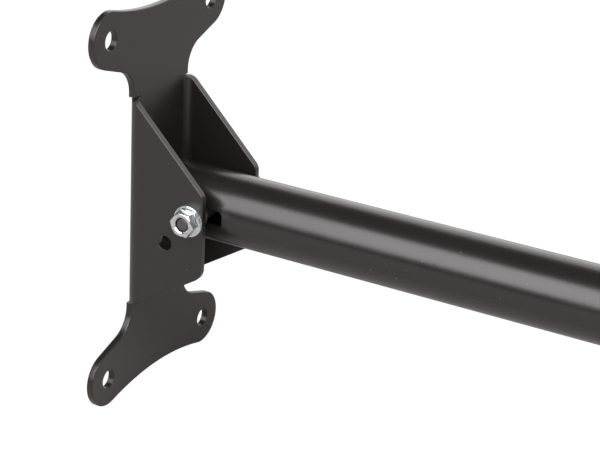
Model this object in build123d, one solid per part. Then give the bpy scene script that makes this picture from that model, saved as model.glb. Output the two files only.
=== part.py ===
from build123d import *
import os
from math import asin, atan2, cos, radians, sin, sqrt, tan

# ---------------------------------------------------------------------------
# Kip bar: a round steel bar that pivots on one through bolt in a folded
# sheet-steel wall bracket at each end. Millimetres.
# Frame: origin at the middle of the bar's axis, +X along the bar to the right
# end, -Y the front (the nut side), +Z up. The two ends mirror each other in X.
# ---------------------------------------------------------------------------

# overall length and sheet
wall_to_wall = 1000.0          # back face of the left wall plate to back face of the right one
sheet = 4.0                    # thickness of the bracket's steel sheet
bend_inner_r = 5.0             # inside radius of the two folds
edge_break = 0.6               # rounding of the sheet's outline edges under the paint
hole_break = 0.3               # the same at drilled holes

# wall plate: four round ears about the fixing holes, waisted between them
hole_spacing_y = 99.0
hole_spacing_z = 200.0
wall_hole_d = 11.0
ear_r = 16.0
neck_w = 54.0                  # width of the plate's neck above and below the folds
neck_fillet_r = 16.0           # hollow round between the neck and an ear's lower side
neck_fillet_z = 64.0           # height of that round's centre
end_dip = 6.5                  # the plate's hollow end edges dip this far below its corners

# cheeks: the two folded side walls
bracket_w = 60.0               # outside width over both cheeks
cheek_reach = 47.0             # from the plate's front face to a cheek's outer edge
cheek_root_z = 61.0            # half the length of each fold
cheek_top_z = 15.5             # upper corner of the outer edge, before rounding
cheek_bottom_z = -32.5         # lower corner of the outer edge, before rounding
upper_root_step = 2.0          # the upper slant starts this far out from the plate
lower_root_step = 1.8          # and the lower slant this far
cheek_top_r = 6.0
cheek_bottom_r = 9.0
cheek_root_r = 8.0
relief_w = 0.8                 # slit that ends each fold

# pivot
pivot_reach = 38.5             # from the plate's front face to the bolt's axis
bolt_d = 8.0
spare_hole_inset = 15.3        # spare hole, from the pivot towards the plate
spare_hole_drop = 17.0         # and below it

# bar
tube_d = 40.0
tube_wall = 2.5
tube_end_gap = 9.0             # plate's front face to the tube's cut end
plug_head_t = 2.0
plug_head_inset = 0.7          # plug's head inside the tube's outer face
plug_stem_gap = 2.0            # plug's stem inside the tube's bore, bridged by its ribs
plug_stem_l = 14.0
plug_stem_wall = 2.0
plug_rib_t = 1.6
plug_rib_count = 3

# slot in each end of the tube for the bolt, and the two spacers that keep the tube central
slot_travel = 20.0             # how far the bolt could move along the slot, to suit the walls
slot_corner_r = 3.0
spacer_d = 12.0

# hexagon flange nut and flange bolt, size M8
hex_af = 13.0
hex_chamfer_angle = 30.0
flange_d = 17.9
flange_rim_t = 1.2
flange_slope = 25.0
hex_h = 8.0                    # height of the nut, and of the bolt's head, flange included
hex_turn = -5.0                # where the wrench left the hexagons: a corner's angle from the bar's axis
nut_countersink = 0.6
bolt_chamfer = 1.0
bolt_end_recess = 1.0          # the bolt's end sits this far inside the nut's outer face

# clearances
bolt_c = 0.25                  # radial, bolt in the cheeks' drilled holes; the spare hole has the same drill
slot_c = 0.5                   # bolt to the slot's upper and lower side
spacer_c = 0.2                 # radial, bolt in its spacers
side_c = 0.3                   # spacer to the tube
seat_c = 0.05                  # pieces of one body that seat on each other
plug_c = 0.1                   # radial, plug ribs in the tube's bore
thread_c = 0.05                # radial, bolt's thread in the nut

# worked out from the above
cheek_out = bracket_w / 2
cheek_in = cheek_out - sheet
bend_outer_r = bend_inner_r + sheet
bend_y = cheek_out - bend_outer_r              # where the flat plate ends and a fold starts
plate_x = wall_to_wall / 2 - sheet             # plate's front face from the bar's middle
tube_r = tube_d / 2
bore_r = tube_r - tube_wall
bolt_hole_d = bolt_d + 2 * bolt_c
slot_h = bolt_d + 2 * slot_c
slot_l = slot_travel + slot_h
spacer_bore_d = bolt_d + 2 * spacer_c
plug_head_d = tube_d - 2 * plug_head_inset
plug_stem_d = 2 * (bore_r - plug_stem_gap)
hex_corner_r = hex_af / 2 / cos(radians(30))
bolt_l = bracket_w + hex_h - bolt_end_recess   # under the head
CUT = 10.0                                     # overrun of a cutting solid
TINY = 0.001                                   # lengths below this count as none


def cyl_y(radius, y0, y1, x=0.0, z=0.0):
    """Cylinder along Y between y0 and y1."""
    return Pos(x, (y0 + y1) / 2, z) * Rot(90, 0, 0) * Cylinder(radius, abs(y1 - y0))


def cyl_x(radius, x0, x1, y=0.0, z=0.0):
    """Cylinder along X between x0 and x1."""
    return Pos((x0 + x1) / 2, y, z) * Rot(0, 90, 0) * Cylinder(radius, abs(x1 - x0))


def box(x, y, z):
    """Box between the pairs of limits x, y and z."""
    middle = [(a + b) / 2 for a, b in (x, y, z)]
    size = [b - a for a, b in (x, y, z)]
    return Pos(*middle) * Box(*size)


def on_circle(centre, radius, angle):
    return (centre[0] + radius * cos(angle), centre[1] + radius * sin(angle))


# ---------------------------------------------------------------------------
# bracket, drawn with the plate's front face at x = 0 and the bar leaving along +X
# ---------------------------------------------------------------------------
def plate_outline():
    """Edges of one quarter of the outline, in (Y, Z), from the top middle round an ear to the waist."""
    ear = (hole_spacing_y / 2, hole_spacing_z / 2)
    # hollow end edge: an arc that touches both upper ears
    low_z = ear[1] + ear_r - end_dip
    end_r = (ear[0]**2 + (ear[1] - low_z)**2 - ear_r**2) / (2 * end_dip)
    end_centre = (0.0, low_z + end_r)
    ear_top_angle = atan2(end_centre[1] - ear[1], -ear[0])
    end_touch = on_circle(ear, ear_r, ear_top_angle)
    end_half_angle = atan2(end_touch[0], end_centre[1] - end_touch[1]) / 2
    end_mid = on_circle(end_centre, end_r, end_half_angle - radians(90))
    # straight flank: the inner tangent of the ear's round and the neck's hollow round
    neck = (neck_w / 2 + neck_fillet_r, neck_fillet_z)
    apart = sqrt((ear[0] - neck[0])**2 + (ear[1] - neck[1])**2)
    flank = atan2(ear[1] - neck[1], ear[0] - neck[0]) - asin((ear_r + neck_fillet_r) / apart)
    ear_touch = on_circle(ear, ear_r, flank - radians(90))
    neck_touch = on_circle(neck, neck_fillet_r, flank + radians(90))
    neck_mid = on_circle(neck, neck_fillet_r, (flank + radians(90) + radians(180)) / 2)
    ear_mid = on_circle(ear, ear_r, (ear_top_angle + flank - radians(90)) / 2)
    neck_low = (neck_w / 2, neck_fillet_z)
    return [
        ThreePointArc((0, low_z), end_mid, end_touch),
        ThreePointArc(end_touch, ear_mid, ear_touch),
        Line(ear_touch, neck_touch),
        ThreePointArc(neck_touch, neck_mid, neck_low),
        Line(neck_low, (neck_w / 2, 0)),
    ]


def wall_plate():
    quarter = plate_outline()
    half = quarter + [mirror(edge, about=Plane.XZ) for edge in quarter]
    whole = half + [mirror(edge, about=Plane.YZ) for edge in half]
    blank = extrude(Plane.YZ * make_face(whole), amount=-sheet)
    rim = [e for e in blank.edges() if e.bounding_box().size.X < sheet / 2]
    plate = fillet(rim, edge_break)
    for y in (-hole_spacing_y / 2, hole_spacing_y / 2):
        for z in (-hole_spacing_z / 2, hole_spacing_z / 2):
            plate -= cyl_x(wall_hole_d / 2, -sheet - CUT, CUT, y, z)
    fold_z = cheek_root_z + relief_w
    for side in (-1, 1):
        limits = sorted((side * bend_y, side * (cheek_out + CUT)))
        plate -= box((-sheet - CUT, CUT), limits, (-fold_z, fold_z))
    return break_holes(plate, wall_hole_d, Axis.X)


def break_holes(solid, diameter, axis):
    """Round the rims of the drilled holes of one diameter."""
    rims = [e for e in solid.edges().filter_by(GeomType.CIRCLE) if abs(e.radius - diameter / 2) < 1e-3]
    return fillet(rims, hole_break)


def bent_strip():
    """Fold and side wall on the +Y side before they are trimmed: one section along Z."""
    ring = Circle(bend_outer_r) - Circle(bend_inner_r)
    quarter = ring & Pos(-bend_outer_r / 2, bend_outer_r / 2) * Rectangle(bend_outer_r, bend_outer_r)
    wall_l = cheek_reach - bend_inner_r
    wall = Pos(bend_inner_r + wall_l / 2, cheek_out - sheet / 2) * Rectangle(wall_l, sheet)
    section = Pos(bend_inner_r, bend_y) * quarter + wall
    return Pos(0, 0, -cheek_root_z) * extrude(section, amount=2 * cheek_root_z)


def cheek_outline():
    """Outline of a cheek seen along Y, from the fold outwards."""
    corners = [
        (-sheet - CUT, -cheek_root_z),
        (lower_root_step, -cheek_root_z),
        (cheek_reach, cheek_bottom_z),
        (cheek_reach, cheek_top_z),
        (upper_root_step, cheek_root_z),
        (-sheet - CUT, cheek_root_z),
    ]
    face = make_face(Polyline(*corners, close=True))
    for corner, radius in ((2, cheek_bottom_r), (3, cheek_top_r), (4, cheek_root_r)):
        nearest = face.vertices().sort_by_distance(Vector(*corners[corner]))[0]
        face = fillet(nearest, radius)
    return face


def is_rim(edge):
    """True for the edges along the cut outline, which are rounded."""
    size, centre = edge.bounding_box().size, edge.center()
    through_sheet = size.X < TINY and size.Z < TINY
    at_plate = size.Y < TINY and abs(centre.Y - bend_y) < TINY
    fold_seam = size.X < TINY and size.Y < TINY and abs(centre.X - bend_inner_r) < TINY
    return not (through_sheet or at_plate or fold_seam)


def cheek():
    """Folded side wall on the +Y side, with the pivot hole and the spare hole."""
    wing = bent_strip() & extrude(Plane.XZ * cheek_outline(), amount=-(cheek_out + CUT))
    wing = fillet([e for e in wing.edges() if is_rim(e)], edge_break)
    wing -= cyl_y(bolt_hole_d / 2, 0, cheek_out + CUT, pivot_reach, 0)
    wing -= cyl_y(bolt_hole_d / 2, 0, cheek_out + CUT, pivot_reach - spare_hole_inset, -spare_hole_drop)
    return break_holes(wing, bolt_hole_d, Axis.Y)


def bracket():
    wing = cheek()
    return wall_plate() + wing + mirror(wing, about=Plane.XZ)


# ---------------------------------------------------------------------------
# pivot hardware, drawn on the bolt's axis with x = 0 there
# ---------------------------------------------------------------------------
def flanged_hex(y_seat, away):
    """Hexagon on a sloped flange that seats at y_seat and grows along Y in the direction away."""
    prism = extrude(RegularPolygon(hex_corner_r, 6, rotation=hex_turn), amount=hex_h)
    drop = (hex_corner_r - hex_af / 2) * tan(radians(hex_chamfer_angle))
    cone_r = hex_corner_r + (hex_h - drop) / tan(radians(hex_chamfer_angle))
    cone = Pos(0, 0, hex_h / 2) * Cone(cone_r, hex_af / 2 * 0.97, hex_h)
    skirt_h = (flange_d - hex_af) / 2 * tan(radians(flange_slope))
    rim = Pos(0, 0, flange_rim_t / 2) * Cylinder(flange_d / 2, flange_rim_t)
    skirt = Pos(0, 0, flange_rim_t + skirt_h / 2) * Cone(flange_d / 2, hex_af / 2, skirt_h)
    body = (prism & cone) + rim + skirt
    return Pos(0, y_seat, 0) * Rot(-90 * away, 0, 0) * body


def flange_nut():
    outer_y = -cheek_out - hex_h
    nut = flanged_hex(-cheek_out, -1)
    thread_r = bolt_d / 2 + thread_c
    nut -= cyl_y(thread_r, outer_y - CUT, -cheek_out + CUT)
    mouths = [e for e in nut.edges().filter_by(GeomType.CIRCLE) if abs(e.radius - thread_r) < 1e-3]
    return chamfer(mouths, nut_countersink)


def pivot_bolt():
    end_y = cheek_out - bolt_l
    shank = cyl_y(bolt_d / 2, end_y, cheek_out)
    tip = shank.edges().filter_by(GeomType.CIRCLE).sort_by(Axis.Y)[0]
    return chamfer(tip, bolt_chamfer) + flanged_hex(cheek_out, 1)


def spacer():
    """The front spacer, a plain ring on the bolt between the cheek and the tube."""
    outer_y, inner_y = -(cheek_in - seat_c), -(tube_r + side_c)
    return cyl_y(spacer_d / 2, outer_y, inner_y) - cyl_y(spacer_bore_d / 2, outer_y - CUT, inner_y + CUT)


# ---------------------------------------------------------------------------
# bar, along the whole length
# ---------------------------------------------------------------------------
def bar_tube():
    half = plate_x - tube_end_gap
    tube = cyl_x(tube_r, -half, half) - cyl_x(bore_r, -half - CUT, half + CUT)
    slot = extrude(Plane.XZ * RectangleRounded(slot_l, slot_h, slot_corner_r), amount=tube_d, both=True)
    for x in (-(plate_x - pivot_reach), plate_x - pivot_reach):
        tube -= Pos(x, 0, 0) * slot
    return tube


def end_plug():
    """Plug for the left end, its domed head against the tube's cut end."""
    seat_x = tube_end_gap
    head = cyl_x(plug_head_d / 2, seat_x - plug_head_t, seat_x)
    head = fillet(head.edges().sort_by(Axis.X)[0], plug_head_t * 0.7)
    stem = cyl_x(plug_stem_d / 2, seat_x, seat_x + plug_stem_l)
    pitch = plug_stem_l / plug_rib_count
    for i in range(plug_rib_count):
        rib_x = seat_x + pitch * (i + 0.5)
        stem += cyl_x(bore_r - plug_c, rib_x, rib_x + plug_rib_t)
    hollow = cyl_x(plug_stem_d / 2 - plug_stem_wall, seat_x, seat_x + plug_stem_l + CUT)
    return head + stem - hollow


# ---------------------------------------------------------------------------
# assembly: each end's pieces are drawn at the left and mirrored to the right
# ---------------------------------------------------------------------------
at_plate = Pos(-plate_x, 0, 0)
at_pivot = Pos(-plate_x + pivot_reach, 0, 0)
front_spacer = spacer()
end_pieces = {
    "bracket": at_plate * bracket(),
    "pivot_bolt": at_pivot * pivot_bolt(),
    "flange_nut": at_pivot * flange_nut(),
    "front_spacer": at_pivot * front_spacer,
    "rear_spacer": at_pivot * mirror(front_spacer, about=Plane.XZ),
    "end_plug": at_plate * end_plug(),
}

os.makedirs("parts", exist_ok=True)
export_step(bar_tube(), "parts/bar_tube.step")
for name, piece in end_pieces.items():
    export_step(piece, f"parts/left_{name}.step")
    export_step(mirror(piece, about=Plane.YZ), f"parts/right_{name}.step")
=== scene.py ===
# %% [markdown]
# # A kip bar, finished in Blender
#
# The object is a round steel bar that hangs between two folded sheet-steel wall brackets, on one through
# bolt at each end. A CAD model already fixes every size and place. This notebook loads it as a frame and
# then gives each piece the surface it has in real life: black powder coat, bright zinc, moulded nylon.
# Each explanation comes first, and the cell under it does the work; every cell after the first prints what it
# made.

# %% Load the CAD frame
import math

import bmesh
import bpy
from mathutils import Matrix, Vector


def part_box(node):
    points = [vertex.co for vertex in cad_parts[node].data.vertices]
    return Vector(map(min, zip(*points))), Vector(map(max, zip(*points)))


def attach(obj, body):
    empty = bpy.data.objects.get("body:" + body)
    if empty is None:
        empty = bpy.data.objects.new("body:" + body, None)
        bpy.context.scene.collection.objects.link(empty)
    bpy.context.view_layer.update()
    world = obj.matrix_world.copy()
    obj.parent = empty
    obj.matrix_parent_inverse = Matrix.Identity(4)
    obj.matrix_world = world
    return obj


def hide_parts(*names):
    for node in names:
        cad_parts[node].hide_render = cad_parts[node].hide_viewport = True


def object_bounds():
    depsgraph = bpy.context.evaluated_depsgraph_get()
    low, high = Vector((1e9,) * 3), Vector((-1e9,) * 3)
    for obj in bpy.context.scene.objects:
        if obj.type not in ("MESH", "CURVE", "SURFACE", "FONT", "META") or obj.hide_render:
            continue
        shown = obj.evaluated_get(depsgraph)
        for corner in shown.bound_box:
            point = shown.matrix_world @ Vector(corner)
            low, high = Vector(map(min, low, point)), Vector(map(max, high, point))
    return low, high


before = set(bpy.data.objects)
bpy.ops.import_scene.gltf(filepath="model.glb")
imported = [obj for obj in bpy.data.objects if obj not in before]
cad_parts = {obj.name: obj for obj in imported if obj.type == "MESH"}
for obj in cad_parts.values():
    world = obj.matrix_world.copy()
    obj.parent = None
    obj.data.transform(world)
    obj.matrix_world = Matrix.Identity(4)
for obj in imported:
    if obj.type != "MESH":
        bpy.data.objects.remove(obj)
CAD_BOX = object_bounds()

# %% [markdown]
# ## Sizes come from the frame
#
# A model that is fitted by eye drifts away from its CAD part. Here the main sizes are read from the boxes of
# the CAD nodes, so a longer bar or a thicker sheet would carry through. The bar lies along X, the bolts
# along Y, and the two ends mirror each other, so the left end's sizes serve both.

# %% Read the sizes
MM = 0.001
ENDS = {"left": -1, "right": 1}


def size_of(node):
    low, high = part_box(node)
    return high - low


TUBE_R = size_of("bar_tube").z / 2
TUBE_HALF = size_of("bar_tube").x / 2
TUBE_WALL = 2.5 * MM
PIVOT_X = sum(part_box("right_flange_nut"), Vector()).x / 2
CHEEK_OUT = -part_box("left_flange_nut")[1].y
BOLT_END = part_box("left_pivot_bolt")[0].y
HEX_HEIGHT = size_of("left_flange_nut").y
FLANGE_R = size_of("left_flange_nut").x / 2
FLOOR_Z = CAD_BOX[0].z
print(f"tube radius {TUBE_R:.4f}, pivot at {PIVOT_X:.4f}, cheek outside {CHEEK_OUT:.4f}, floor {FLOOR_Z:.4f}")

# %% [markdown]
# ## Node trees written as Python
#
# Materials and Geometry Nodes are both trees of nodes. Clicking them together in a script takes many
# lines, so two small classes carry the load. `Socket` wraps one output and overloads the arithmetic
# operators, so that `roughness + spots * 0.1` adds its own Math nodes. `Graph.add` makes any other node from
# its type, its settings and the values or links of its inputs. A material and a Geometry Nodes recipe can
# then both be read like sums.

# %% The graph helper
class Socket:
    """One output of a node, usable in arithmetic."""

    def __init__(self, graph, socket):
        self.graph, self.socket = graph, socket

    def output(self, name):
        """Another output of the same node."""
        return Socket(self.graph, self.socket.node.outputs[name])

    def _math(self, operation, first, second=None):
        values = {0: first} if second is None else {0: first, 1: second}
        return self.graph.add("ShaderNodeMath", {"operation": operation}, values)

    def __add__(self, other):
        return self._math("ADD", self, other)

    def __sub__(self, other):
        return self._math("SUBTRACT", self, other)

    def __rsub__(self, other):
        return self._math("SUBTRACT", other, self)

    def __mul__(self, other):
        return self._math("MULTIPLY", self, other)

    def __truediv__(self, other):
        return self._math("DIVIDE", self, other)

    __radd__, __rmul__ = __add__, __mul__

    def remainder(self, other):
        return self._math("MODULO", self, other)

    def below(self, limit):
        return self._math("LESS_THAN", self, limit)

    def smooth(self, start, end):
        """0 below start, 1 above end, eased between them. start may be above end."""
        settings = {"interpolation_type": "SMOOTHSTEP"}
        values = {"Value": self, "From Min": start, "From Max": end}
        return self.graph.add("ShaderNodeMapRange", settings, values)


class Graph:
    """A node tree that is filled from Python."""

    def __init__(self, tree):
        self.tree = tree

    def add(self, kind, settings=None, values=None, output=0):
        """A node of one kind, its settings first, then its inputs. A list links several to one input."""
        node = self.tree.nodes.new(kind)
        for name, value in (settings or {}).items():
            setattr(node, name, value)
        for key, value in (values or {}).items():
            for item in value if isinstance(value, list) else [value]:
                if isinstance(item, Socket):
                    self.tree.links.new(item.socket, node.inputs[key])
                else:
                    node.inputs[key].default_value = item
        return Socket(self, node.outputs[output]) if node.outputs else None

    def mix(self, factor, first, second):
        """Colour between first and second."""
        return self.add("ShaderNodeMix", {"data_type": "RGBA"}, {0: factor, 6: first, 7: second}, output=2)


print("graph helper ready")

# %% [markdown]
# ## Geometry Nodes, built and then frozen
#
# A Geometry Nodes tree is a recipe: a few named sizes in, a mesh out. It suits round parts and parts that
# repeat, such as teeth round a flange. The helper below makes an empty tree with named inputs. `freeze`
# runs the recipe once, keeps the plain mesh and drops the modifier, because later steps need real faces.

# %% Geometry tree helpers
def geometry_tree(name, **inputs):
    """A new tree with named number inputs and a Material input. Returns its graph and its input socket."""
    tree = bpy.data.node_groups.new(name, "GeometryNodeTree")
    tree.interface.new_socket("Geometry", in_out="OUTPUT", socket_type="NodeSocketGeometry")
    for label, value in inputs.items():
        kind = "NodeSocketInt" if isinstance(value, int) else "NodeSocketFloat"
        socket = tree.interface.new_socket(label, in_out="INPUT", socket_type=kind)
        socket.default_value = value
    tree.interface.new_socket("Material", in_out="INPUT", socket_type="NodeSocketMaterial")
    graph = Graph(tree)
    return graph, graph.add("NodeGroupInput")


def close_tree(graph, given, geometry):
    """Ends a tree: real instances, material, output."""
    solid = graph.add("GeometryNodeRealizeInstances", values={0: geometry})
    values = {"Geometry": solid, "Material": given.output("Material")}
    painted = graph.add("GeometryNodeSetMaterial", values=values)
    graph.add("NodeGroupOutput", values={0: painted})


def freeze(obj):
    """Replaces an object's modifiers by the mesh they make."""
    plain = bpy.data.meshes.new_from_object(obj.evaluated_get(bpy.context.evaluated_depsgraph_get()))
    obj.modifiers.clear()
    obj.data = plain
    return obj


def grow(name, graph, material, **sizes):
    """Runs a geometry tree with the given sizes and returns the plain object."""
    obj = bpy.data.objects.new(name, bpy.data.meshes.new(name))
    bpy.context.scene.collection.objects.link(obj)
    modifier = obj.modifiers.new("recipe", "NODES")
    modifier.node_group = graph.tree
    for item in graph.tree.interface.items_tree:
        if item.item_type == "SOCKET" and item.in_out == "INPUT":
            if item.name == "Material":
                modifier[item.identifier] = material
            elif item.name in sizes:
                modifier[item.identifier] = sizes[item.name]
    return freeze(obj)


print("geometry helpers ready")

# %% [markdown]
# ## Tidy shading for machined and folded parts
#
# A CAD mesh is loose triangles. Merged, with smooth shading and sharp creases only where the metal
# really turns a corner, it reads as one surface. A Weighted Normal modifier then gives the large flat
# faces the say, so that all of the shading change happens inside the small rounded edges.

# %% Shading helpers
CREASE = math.radians(50)
WELD = 0.002 * MM


def smooth_shading(obj, crease):
    """Welds doubles, marks corners over the crease angle as sharp and evens the normals."""
    work = bmesh.new()
    work.from_mesh(obj.data)
    bmesh.ops.remove_doubles(work, verts=work.verts, dist=WELD)
    for edge in work.edges:
        edge.smooth = len(edge.link_faces) == 2 and edge.calc_face_angle(0.0) < crease
    for face in work.faces:
        face.smooth = True
    work.to_mesh(obj.data)
    work.free()
    evener = obj.modifiers.new("even", "WEIGHTED_NORMAL")
    evener.keep_sharp = True
    evener.mode = "FACE_AREA"
    return freeze(obj)


def polished_copy(node, material):
    """A welded and smoothly shaded copy of a CAD node."""
    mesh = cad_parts[node].data.copy()
    mesh.name = f"{node}_finished"
    mesh.materials.clear()
    mesh.materials.append(material)
    obj = bpy.data.objects.new(f"{node}_finished", mesh)
    bpy.context.scene.collection.objects.link(obj)
    return smooth_shading(obj, CREASE)


def soften(obj, width, crease):
    """Rounds the edges that turn by more than the crease angle, then shades the piece smoothly."""
    bevel = obj.modifiers.new("soften", "BEVEL")
    bevel.width, bevel.segments = width, 2
    bevel.limit_method, bevel.angle_limit = "ANGLE", crease
    freeze(obj)
    return smooth_shading(obj, crease)


def stand_for(obj, body, node):
    """Hands a finished piece to the frame in place of its CAD node."""
    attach(obj, body)
    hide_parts(node)
    print(f"{obj.name}: {len(obj.data.vertices)} vertices on {body}")


print("shading helpers ready")

# %% [markdown]
# ## What every surface needs
#
# Each material is an empty tree that ends in one Principled shader. Between them come a few patterns that
# read the point's own place on the object, so no unwrapping is needed and nothing slides when a joint
# moves. Clouds of noise give mottling, scattered dots give dust, and a bump turns a height into a slope.

# %% Surface helpers
def new_material(name):
    """An empty node material. Returns the material and its graph."""
    material = bpy.data.materials.new(name)
    material.use_nodes = True
    material.node_tree.nodes.clear()
    return material, Graph(material.node_tree)


def close_material(graph, **values):
    """Ends a material with one Principled shader. Underscores in the names stand for spaces."""
    named = {name.replace("_", " "): value for name, value in values.items()}
    shader = graph.add("ShaderNodeBsdfPrincipled", values=named)
    graph.add("ShaderNodeOutputMaterial", values={"Surface": shader})


def own_place(graph):
    """The point's place on the object, in metres."""
    return graph.add("ShaderNodeTexCoord", output="Object")


def noise(graph, place, scale, detail=2.0, roughness=0.5):
    """Cloudy pattern from 0 to 1 with about scale lumps to the metre."""
    values = {"Vector": place, "Scale": scale, "Detail": detail, "Roughness": roughness}
    return graph.add("ShaderNodeTexNoise", values=values)


def dots(graph, place, scale, edge, core):
    """Scattered round dots: 1 within core of a cell's point, 0 beyond edge, in cell widths."""
    return graph.add("ShaderNodeTexVoronoi", values={"Vector": place, "Scale": scale}).smooth(edge, core)


def relief(graph, height, depth, strength):
    """Small bumps of the given depth, as a normal."""
    return graph.add("ShaderNodeBump", values={"Strength": strength, "Distance": depth, "Height": height})


print("surface helpers ready")

# %% [markdown]
# ## Black powder coat
#
# Powder coat is plastic, sprayed on as dust and baked until it flows. It keeps a faint orange peel about a
# millimetre across, and a few nibs where a grain of dust was baked in. Gloss hides none of this, because
# a reflection shows every change of slope, so the texture belongs in the normal and not in the colour.
# The colour is almost pure black: nearly all that the eye sees is reflection. Loose dust sits on top as a
# few pale specks. Handling leaves short scratches along the bar, in patches, and the worn coat has them.

# %% Powder coat material
BLACK = (0.0076, 0.0060, 0.0058, 1)
DUST = (0.24, 0.23, 0.22, 1)


def powder_coat(name, roughness, worn=False):
    material, graph = new_material(name)
    place = own_place(graph)
    peel = noise(graph, place, 620, detail=1.5)
    ripple = noise(graph, place, 150, detail=1.0)
    nibs = dots(graph, place, 210, edge=0.085, core=0.02)
    height = peel * 0.5 + ripple * 0.9 + nibs * 1.6
    gloss = roughness + (noise(graph, place, 30) - 0.5) * 0.06
    specks = dots(graph, place, 120, edge=0.030, core=0.016)
    if worn:
        along = graph.add("ShaderNodeMapping", values={"Vector": place, "Scale": (0.06, 1.0, 1.0)})
        patch = noise(graph, place, 16, detail=1.0).smooth(0.55, 0.68)
        scratch = noise(graph, along, 2600, detail=3.0, roughness=0.7).smooth(0.66, 0.72) * patch
        height = height - scratch * 0.8
        gloss = gloss + scratch * 0.12
    close_material(graph, Base_Color=graph.mix(specks, BLACK, DUST), Roughness=gloss, IOR=1.5,
                   Normal=relief(graph, height, 0.06 * MM, strength=0.35))
    return material


BRACKET_COAT = powder_coat("bracket_powder_coat", 0.32)
BAR_COAT = powder_coat("bar_powder_coat", 0.27, worn=True)
print("powder coats:", BRACKET_COAT.name, BAR_COAT.name)

# %% [markdown]
# ## Bright zinc and black steel
#
# Zinc plating on a nut is a bright metal with a slightly blue-white cast and a barely rough skin, mottled
# where the plating bath left it thicker. The bolt is blackened steel with a little oil on it: its skin is
# an oxide and no longer bare metal, so it is a dark, half-glossy surface without a metallic reflection.

# %% Metal materials
def bright_zinc():
    material, graph = new_material("bright_zinc")
    place = own_place(graph)
    blotch = noise(graph, place, 420, detail=3.0)
    fine = noise(graph, place, 5200, detail=2.0)
    close_material(graph, Base_Color=graph.mix(blotch, (0.36, 0.40, 0.42, 1), (0.70, 0.74, 0.74, 1)),
                   Metallic=1.0, Roughness=blotch * 0.14 + 0.16,
                   Normal=relief(graph, fine + blotch, 0.02 * MM, strength=0.25))
    return material


def black_steel():
    material, graph = new_material("black_steel")
    place = own_place(graph)
    blotch = noise(graph, place, 300, detail=3.0)
    fine = noise(graph, place, 3000, detail=2.0)
    close_material(graph, Base_Color=graph.mix(blotch, (0.018, 0.017, 0.017, 1), (0.045, 0.042, 0.040, 1)),
                   Roughness=blotch * 0.2 + 0.28, Normal=relief(graph, fine, 0.02 * MM, strength=0.3))
    return material


ZINC, BLACK_STEEL = bright_zinc(), black_steel()
print("metals:", ZINC.name, BLACK_STEEL.name)

# %% [markdown]
# ## Moulded plastic
#
# The spacers and the end plugs are black plastic, with the soft grain that a spark-eroded mould leaves.
# A wide, weak cloud of lighter grey stands for the uneven pigment.

# %% Plastic materials
def moulded(name, colour, roughness):
    material, graph = new_material(name)
    place = own_place(graph)
    grain = noise(graph, place, 2600, detail=3.0)
    lighter = tuple(channel * 1.5 for channel in colour[:3]) + (1,)
    close_material(graph, Base_Color=graph.mix(noise(graph, place, 90), colour, lighter),
                   Roughness=grain * 0.2 + roughness, Normal=relief(graph, grain, 0.03 * MM, strength=0.4))
    return material


NYLON = moulded("moulded_nylon", (0.022, 0.022, 0.023, 1), 0.42)
PLUG_PLASTIC = moulded("moulded_plug", (0.014, 0.014, 0.015, 1), 0.5)
print("plastics:", NYLON.name, PLUG_PLASTIC.name)

# %% [markdown]
# ## Solids for the recipes
#
# Three solids are enough for everything here: a cylinder, a cone, and a bar with a rounded rectangle for its
# section, which is a path with a profile swept along it. Mesh Boolean then adds and takes away. Its exact
# solver is the one that copes with faces lying in one plane, as a nut's flange and hexagon do.

# %% Solid helpers
ALONG_X = (0, math.pi / 2, 0)
ALONG_Y = (math.pi / 2, 0, 0)
ALONG_Z = (0, 0, 0)
ROUND_SIDES = 96
CORNER_SIDES = 8


def vector(graph, **parts):
    return graph.add("ShaderNodeCombineXYZ", values=parts)


def cylinder(graph, radius, depth, turn, sides, at=(0, 0, 0)):
    """Cylinder of the given sockets or numbers, turned from Z and moved."""
    values = {"Vertices": sides, "Radius": radius, "Depth": depth}
    mesh = graph.add("GeometryNodeMeshCylinder", values=values)
    return graph.add("GeometryNodeTransform", values={"Geometry": mesh, "Rotation": turn, "Translation": at})


def cone(graph, low_r, high_r, depth, base):
    """Cone along Z that stands on the height base."""
    values = {"Vertices": ROUND_SIDES, "Radius Bottom": low_r, "Radius Top": high_r, "Depth": depth}
    mesh = graph.add("GeometryNodeMeshCone", values=values)
    return graph.add("GeometryNodeTransform", values={"Geometry": mesh, "Translation": vector(graph, Z=base)})


def slot_cutter(graph, length, height, corner, reach):
    """Bar of rounded-rectangle section along Y, long side along X."""
    outline = graph.add("GeometryNodeCurvePrimitiveQuadrilateral", values={"Width": length, "Height": height})
    values = {"Curve": outline, "Count": CORNER_SIDES, "Radius": corner}
    rounded = graph.add("GeometryNodeFilletCurve", {"mode": "POLY"}, values)
    path = graph.add("GeometryNodeCurvePrimitiveLine",
                     values={"Start": vector(graph, Y=0 - reach), "End": vector(graph, Y=reach)})
    values = {"Curve": path, "Profile Curve": rounded, "Fill Caps": True}
    return graph.add("GeometryNodeCurveToMesh", values=values)


def boolean(graph, operation, meshes):
    """UNION or INTERSECT of all meshes."""
    settings = {"operation": operation, "solver": "EXACT"}
    return graph.add("GeometryNodeMeshBoolean", settings, {"Mesh 2": meshes})


def take_away(graph, solid, cutters, solver="EXACT"):
    settings = {"operation": "DIFFERENCE", "solver": solver}
    return graph.add("GeometryNodeMeshBoolean", settings, {"Mesh 1": solid, "Mesh 2": cutters})


print("solid helpers ready, round parts have", ROUND_SIDES, "sides")

# %% [markdown]
# ## The bar
#
# A steel tube is a cylinder less a smaller cylinder, less a slot at each end. The bolt runs in the slot, so
# the bar can be set to the distance between its walls. That is a rule, so Geometry Nodes can build it. A
# long tube needs many sides, because its highlight is one straight band and any facet would show as a kink
# in it. The cut edges are rounded a little, because a saw cut is deburred before it is coated.

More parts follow.
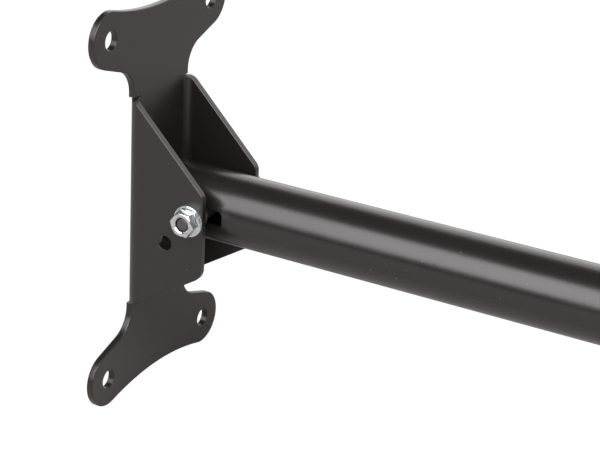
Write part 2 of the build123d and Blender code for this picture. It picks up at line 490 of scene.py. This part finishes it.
# %% Grow the tube
def tube_recipe():
    graph, given = geometry_tree("tube", Radius=0.02, Bore=0.017, Half=0.4, Pivot=0.4, Sides=160,
                                 SlotLength=0.029, SlotHeight=0.009, SlotCorner=0.003)
    sides = given.output("Sides")
    outer = cylinder(graph, given.output("Radius"), given.output("Half") * 2, ALONG_X, sides)
    bore = cylinder(graph, given.output("Bore"), given.output("Half") * 2.2, ALONG_X, sides)
    cutter = slot_cutter(graph, given.output("SlotLength"), given.output("SlotHeight"),
                         given.output("SlotCorner"), given.output("Radius") * 1.5)
    cuts = [bore]
    for sign in ENDS.values():
        at = vector(graph, X=given.output("Pivot") * sign)
        cuts.append(graph.add("GeometryNodeTransform", values={"Geometry": cutter, "Translation": at}))
    close_tree(graph, given, take_away(graph, outer, cuts, solver="FLOAT"))
    return graph


bar = grow("bar_tube_finished", tube_recipe(), BAR_COAT,
           Radius=TUBE_R, Bore=TUBE_R - TUBE_WALL, Half=TUBE_HALF, Pivot=PIVOT_X)
soften(bar, 0.3 * MM, CREASE)
stand_for(bar, "bar", "bar_tube")

# %% [markdown]
# ## The brackets
#
# Each bracket is one sheet of 4 mm steel, cut to a waisted shape with four ears and folded twice. Its CAD
# mesh already has the right outline, folds, holes and broken edges, so it needs no new geometry: a
# welded, evenly shaded copy is enough to carry the coat.

# %% Finish the brackets
for end in ENDS:
    bracket = polished_copy(f"{end}_bracket", BRACKET_COAT)
    stand_for(bracket, f"{end}_wall_bracket", f"{end}_bracket")

# %% [markdown]
# ## Flanged hexagons
#
# A flange nut is a hexagon whose corners are turned off by a cone, on a sloping washer. A cylinder with six
# sides meets a cone in a Mesh Boolean for the hexagon, and two more round shapes make the flange. The rim
# has fine teeth: every third corner of its outline is pulled in a little, by a rule on the corner's index.
# The nut and the head of the bolt are the same shape, so both recipes start from this one.

# %% Recipe for a flanged hexagon
HEX_FLAT = 6.5 * MM                                  # from the axis to a flat
CHAMFER_SLOPE = math.tan(math.radians(30))
CHAMFER_FLAT = 0.97                                  # the cone's small end, in parts of HEX_FLAT
SKIRT_SLOPE = math.tan(math.radians(25))
SKIRT_TOP = 0.95                                     # the sloping skirt meets the hexagon inside its flats
RIM_T = 1.2 * MM
RIM_STEP = 0.45 * MM                                 # ledge between the rim and the skirt
RIM_SIDES = 144
TOOTH_EVERY, TOOTH_DEPTH = 3.0, 0.022                # a tooth's depth is in parts of the rim's radius


def toothed_rim(graph, radius):
    disc = cylinder(graph, radius, RIM_T, ALONG_Z, RIM_SIDES, vector(graph, Z=RIM_T * 0.5))
    notch = graph.add("GeometryNodeInputIndex").remainder(TOOTH_EVERY).below(0.5)
    place = graph.add("GeometryNodeInputPosition")
    to_axis = (-TOOTH_DEPTH, -TOOTH_DEPTH, 0)
    flat = graph.add("ShaderNodeVectorMath", {"operation": "MULTIPLY"}, {0: place, 1: to_axis})
    inward = graph.add("ShaderNodeVectorMath", {"operation": "SCALE"}, {0: flat, "Scale": notch})
    return graph.add("GeometryNodeSetPosition", values={"Geometry": disc, "Offset": inward})


def flanged_hexagon(graph, given):
    """Hexagon with turned corners on a toothed, sloping flange, standing on z = 0."""
    flat, height, flange = given.output("Flat"), given.output("Height"), given.output("Flange")
    middle, turn = vector(graph, Z=height * 0.5), vector(graph, Z=given.output("Turn"))
    prism = cylinder(graph, flat / math.cos(math.radians(30)), height, turn, 6, middle)
    turned = cone(graph, flat * CHAMFER_FLAT + height / CHAMFER_SLOPE, flat * CHAMFER_FLAT, height, 0)
    hexagon = boolean(graph, "INTERSECT", [prism, turned])
    low_r, high_r = flange - RIM_STEP, flat * SKIRT_TOP
    skirt = cone(graph, low_r, high_r, (low_r - high_r) * SKIRT_SLOPE, RIM_T)
    return boolean(graph, "UNION", [hexagon, toothed_rim(graph, flange), skirt])


def hexagon_tree(name):
    return geometry_tree(name, Flat=0.0065, Height=0.008, Flange=0.009, Turn=0.0, Bolt=0.004, Shank=0.067)


print("a rim has", int(RIM_SIDES / TOOTH_EVERY), "teeth")

# %% [markdown]
# ## The nut's bore and the bolt's shank
#
# The nut is drilled through, and a cone widens the bore's mouth: that bright ring is the countersink which
# starts the thread. The bolt gets a round shank whose end is turned to a short cone.

# %% Nut and bolt recipes
THREAD_GAP = 0.05 * MM
MOUTH_WIDER = 0.75 * MM
MOUTH_BELOW, MOUTH_ABOVE = 2 * MM, 1 * MM            # how far its cutter reaches past the nut's face
TIP = 1 * MM                                         # cone at the shank's end, as long as it is deep


def nut_recipe():
    graph, given = hexagon_tree("flange nut")
    height, bolt = given.output("Height"), given.output("Bolt")
    body = flanged_hexagon(graph, given)
    hole = cylinder(graph, bolt + THREAD_GAP, height * 4, ALONG_Z, ROUND_SIDES)
    mouth_r = bolt + MOUTH_WIDER
    mouth = cone(graph, mouth_r - MOUTH_BELOW, mouth_r + MOUTH_ABOVE, MOUTH_BELOW + MOUTH_ABOVE,
                 height - MOUTH_BELOW)
    close_tree(graph, given, take_away(graph, body, [hole, mouth]))
    return graph


def bolt_recipe():
    graph, given = hexagon_tree("flange bolt")
    bolt, shank = given.output("Bolt"), given.output("Shank")
    core = cylinder(graph, bolt, shank, ALONG_Z, ROUND_SIDES, vector(graph, Z=shank * -0.5))
    end = cone(graph, bolt - TIP, bolt, TIP, 0 - shank - TIP)
    trimmed = boolean(graph, "UNION", [core, end])
    close_tree(graph, given, boolean(graph, "UNION", [flanged_hexagon(graph, given), trimmed]))
    return graph


NUT_RECIPE, BOLT_RECIPE = nut_recipe(), bolt_recipe()
print("recipes:", NUT_RECIPE.tree.name, "and", BOLT_RECIPE.tree.name)

# %% [markdown]
# ## Nuts and bolts in place
#
# A recipe draws its piece on the Z axis. The mesh is then turned onto the bolt's line and moved to its end
# of the bar, while the object stays at the origin, so that the joint carries it without surprises. The
# nut faces the front and the bolt's head the back. The wrench left each nut five degrees off the bar's
# line, and the right end is the mirror image of the left.

# %% Grow the nuts and bolts
BOLT_R = 4 * MM
HEX_TURN = math.radians(-5)
HEX_CREASE = math.radians(28)
HEX_SOFTNESS = 0.12 * MM


def seat(obj, turn, place):
    """Turns a mesh about X and moves it, so that the object itself stays at the origin."""
    obj.data.transform(Matrix.Translation(place) @ Matrix.Rotation(turn, 4, "X"))


for end, side in ENDS.items():
    sizes = {"Flat": HEX_FLAT, "Height": HEX_HEIGHT, "Flange": FLANGE_R, "Bolt": BOLT_R,
             "Turn": HEX_TURN * -side}
    nut = grow(f"{end}_flange_nut_finished", NUT_RECIPE, ZINC, **sizes)
    seat(nut, math.radians(90), (side * PIVOT_X, -CHEEK_OUT, 0))
    soften(nut, HEX_SOFTNESS, HEX_CREASE)
    stand_for(nut, f"{end}_wall_bracket", f"{end}_flange_nut")
    bolt = grow(f"{end}_pivot_bolt_finished", BOLT_RECIPE, BLACK_STEEL,
                Shank=CHEEK_OUT - BOLT_END - TIP, **sizes)
    seat(bolt, math.radians(-90), (side * PIVOT_X, CHEEK_OUT, 0))
    soften(bolt, HEX_SOFTNESS, HEX_CREASE)
    stand_for(bolt, f"{end}_wall_bracket", f"{end}_pivot_bolt")

# %% [markdown]
# ## Spacers and end plugs
#
# A spacer is a short ring turned from black nylon rod: one cylinder less another. It fills the gap between
# the tube and a cheek, so the bar can't shift sideways on its bolt. The end plugs are moulded and sit in
# the channel behind the tube's end, out of sight, where a welded copy of the CAD piece is enough.

# %% Finish the spacers and plugs
SPACER_GAP = 0.2 * MM


def spacer_recipe():
    graph, given = geometry_tree("spacer", Radius=0.006, Bore=0.0042, Width=0.005)
    ring = cylinder(graph, given.output("Radius"), given.output("Width"), ALONG_Y, ROUND_SIDES)
    hole = cylinder(graph, given.output("Bore"), given.output("Width") * 2, ALONG_Y, ROUND_SIDES)
    close_tree(graph, given, take_away(graph, ring, [hole]))
    return graph


SPACER_RECIPE = spacer_recipe()
for end in ENDS:
    for place in ("front", "rear"):
        node = f"{end}_{place}_spacer"
        low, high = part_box(node)
        ring = grow(f"{node}_finished", SPACER_RECIPE, NYLON,
                    Radius=(high - low).x / 2, Bore=BOLT_R + SPACER_GAP, Width=(high - low).y)
        seat(ring, 0, (low + high) / 2)
        soften(ring, 0.25 * MM, CREASE)
        stand_for(ring, f"{end}_wall_bracket", node)
    plug = polished_copy(f"{end}_end_plug", PLUG_PLASTIC)
    stand_for(plug, "bar", f"{end}_end_plug")

# %% [markdown]
# ## A pale floor
#
# The object stands on a pale, endless floor. To the camera the floor is almost pure white. To everything
# else it is light grey paper, because what a black, half-glossy part mostly shows is its surroundings, and
# a white floor would turn its lower side grey. A Light Path node tells the two kinds of ray apart.

# %% Lay the floor
FLOOR_REACH = 30.0
FLOOR_PAPER = (0.41, 0.385, 0.385, 1)
WHITE = (1, 1, 1, 1)


def stage_floor():
    mesh = bpy.data.meshes.new("floor")
    corners = [(-1, -1), (1, -1), (1, 1), (-1, 1)]
    mesh.from_pydata([(x * FLOOR_REACH, y * FLOOR_REACH, FLOOR_Z) for x, y in corners], [], [(0, 1, 2, 3)])
    obj = bpy.data.objects.new("floor", mesh)
    bpy.context.scene.collection.objects.link(obj)
    material, graph = new_material("pale_floor")
    paper = graph.add("ShaderNodeBsdfDiffuse", values={"Color": FLOOR_PAPER})
    glow = graph.add("ShaderNodeEmission", values={"Color": WHITE, "Strength": 1.1})
    seen = graph.add("ShaderNodeLightPath", output="Is Camera Ray")
    both = graph.add("ShaderNodeMixShader", values={0: seen * 0.9, 1: paper, 2: glow})
    graph.add("ShaderNodeOutputMaterial", values={"Surface": both})
    mesh.materials.append(material)


stage_floor()
print(f"floor at {FLOOR_Z:.4f}")

# %% [markdown]
# ## Lights
#
# A wide soft light in front and above draws the long highlight on the bar, a second one behind lights its
# upper edge, and a third at the side lifts the plates off black. On a glossy round bar a light's
# height sets where its band lies, its size how wide the band is, and its radiance how bright, so the
# front and back lights are placed by their angle round the bar. They don't show to the camera.

# %% Set the lights
AIM = Vector((-0.2, 0, 0))
WORLD_GLOW = 0.10


def studio_world():
    """White to the camera and dim to everything else."""
    world = bpy.data.worlds.new("studio")
    bpy.context.scene.world = world
    world.use_nodes = True
    world.node_tree.nodes.clear()
    graph = Graph(world.node_tree)
    seen = graph.add("ShaderNodeLightPath", output="Is Camera Ray")
    back = graph.add("ShaderNodeBackground", values={"Color": WHITE, "Strength": seen + WORLD_GLOW})
    graph.add("ShaderNodeOutputWorld", values={"Surface": back})


def around_bar(elevation, distance):
    """Point at a distance from the bar's axis: elevation 0 is straight in front, 90 above, 180 behind."""
    angle = math.radians(elevation)
    return AIM + distance * Vector((0, -math.cos(angle), math.sin(angle)))


def softbox(name, at, aim, size, radiance, colour):
    """Rectangular area light that a mirror would show as bright as radiance."""
    light = bpy.data.lights.new(name, "AREA")
    light.shape, light.size, light.size_y = "RECTANGLE", size[0], size[1]
    light.energy = radiance * math.pi * size[0] * size[1]
    light.color = colour
    obj = bpy.data.objects.new(name, light)
    bpy.context.scene.collection.objects.link(obj)
    obj.location = at
    obj.rotation_euler = (aim - at).to_track_quat("-Z", "Y").to_euler()
    obj.visible_camera = False
    print(f"{name} light at {[round(value, 2) for value in at]}, {light.energy:.0f} W")


studio_world()
softbox("key", at=around_bar(39, 1.6), aim=AIM, size=(2.6, 1.45), radiance=6.4,
        colour=(1.0, 0.975, 0.985))
softbox("side", at=Vector((0.9, -0.25, 1.3)), aim=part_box("left_bracket")[1], size=(1.2, 1.2), radiance=6.5,
        colour=(1.0, 0.96, 0.975))
softbox("back", at=around_bar(158, 1.8), aim=AIM, size=(3.2, 1.55), radiance=1.9,
        colour=(1.0, 0.975, 0.96))

# %% [markdown]
# ## Camera
#
# A long lens from a little above and to the right looks along the bar at its left bracket. The camera
# is set by its place and two directions, so no target object is needed.

# %% Set the camera
SHEET = 4 * MM
PLATE_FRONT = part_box("left_bracket")[0].x + SHEET
EYE = Vector((PLATE_FRONT + 0.5753, -0.8861, 0.4262))
AHEAD = Vector((-0.4417, 0.8086, -0.3886)).normalized()
RIGHT = AHEAD.cross(Vector((-0.2284, 0.3175, 0.9203))).normalized()
UP = RIGHT.cross(AHEAD)

camera_data = bpy.data.cameras.new("camera")
camera_data.lens = 120.5
camera_data.sensor_width = 36
camera_data.clip_end = 100
camera = bpy.data.objects.new("camera", camera_data)
camera.matrix_world = Matrix.Translation(EYE) @ Matrix((RIGHT, UP, -AHEAD)).transposed().to_4x4()
bpy.context.scene.collection.objects.link(camera)
bpy.context.scene.camera = camera
bpy.context.scene.view_settings.view_transform = "Standard"
print("camera at", [round(value, 3) for value in EYE])
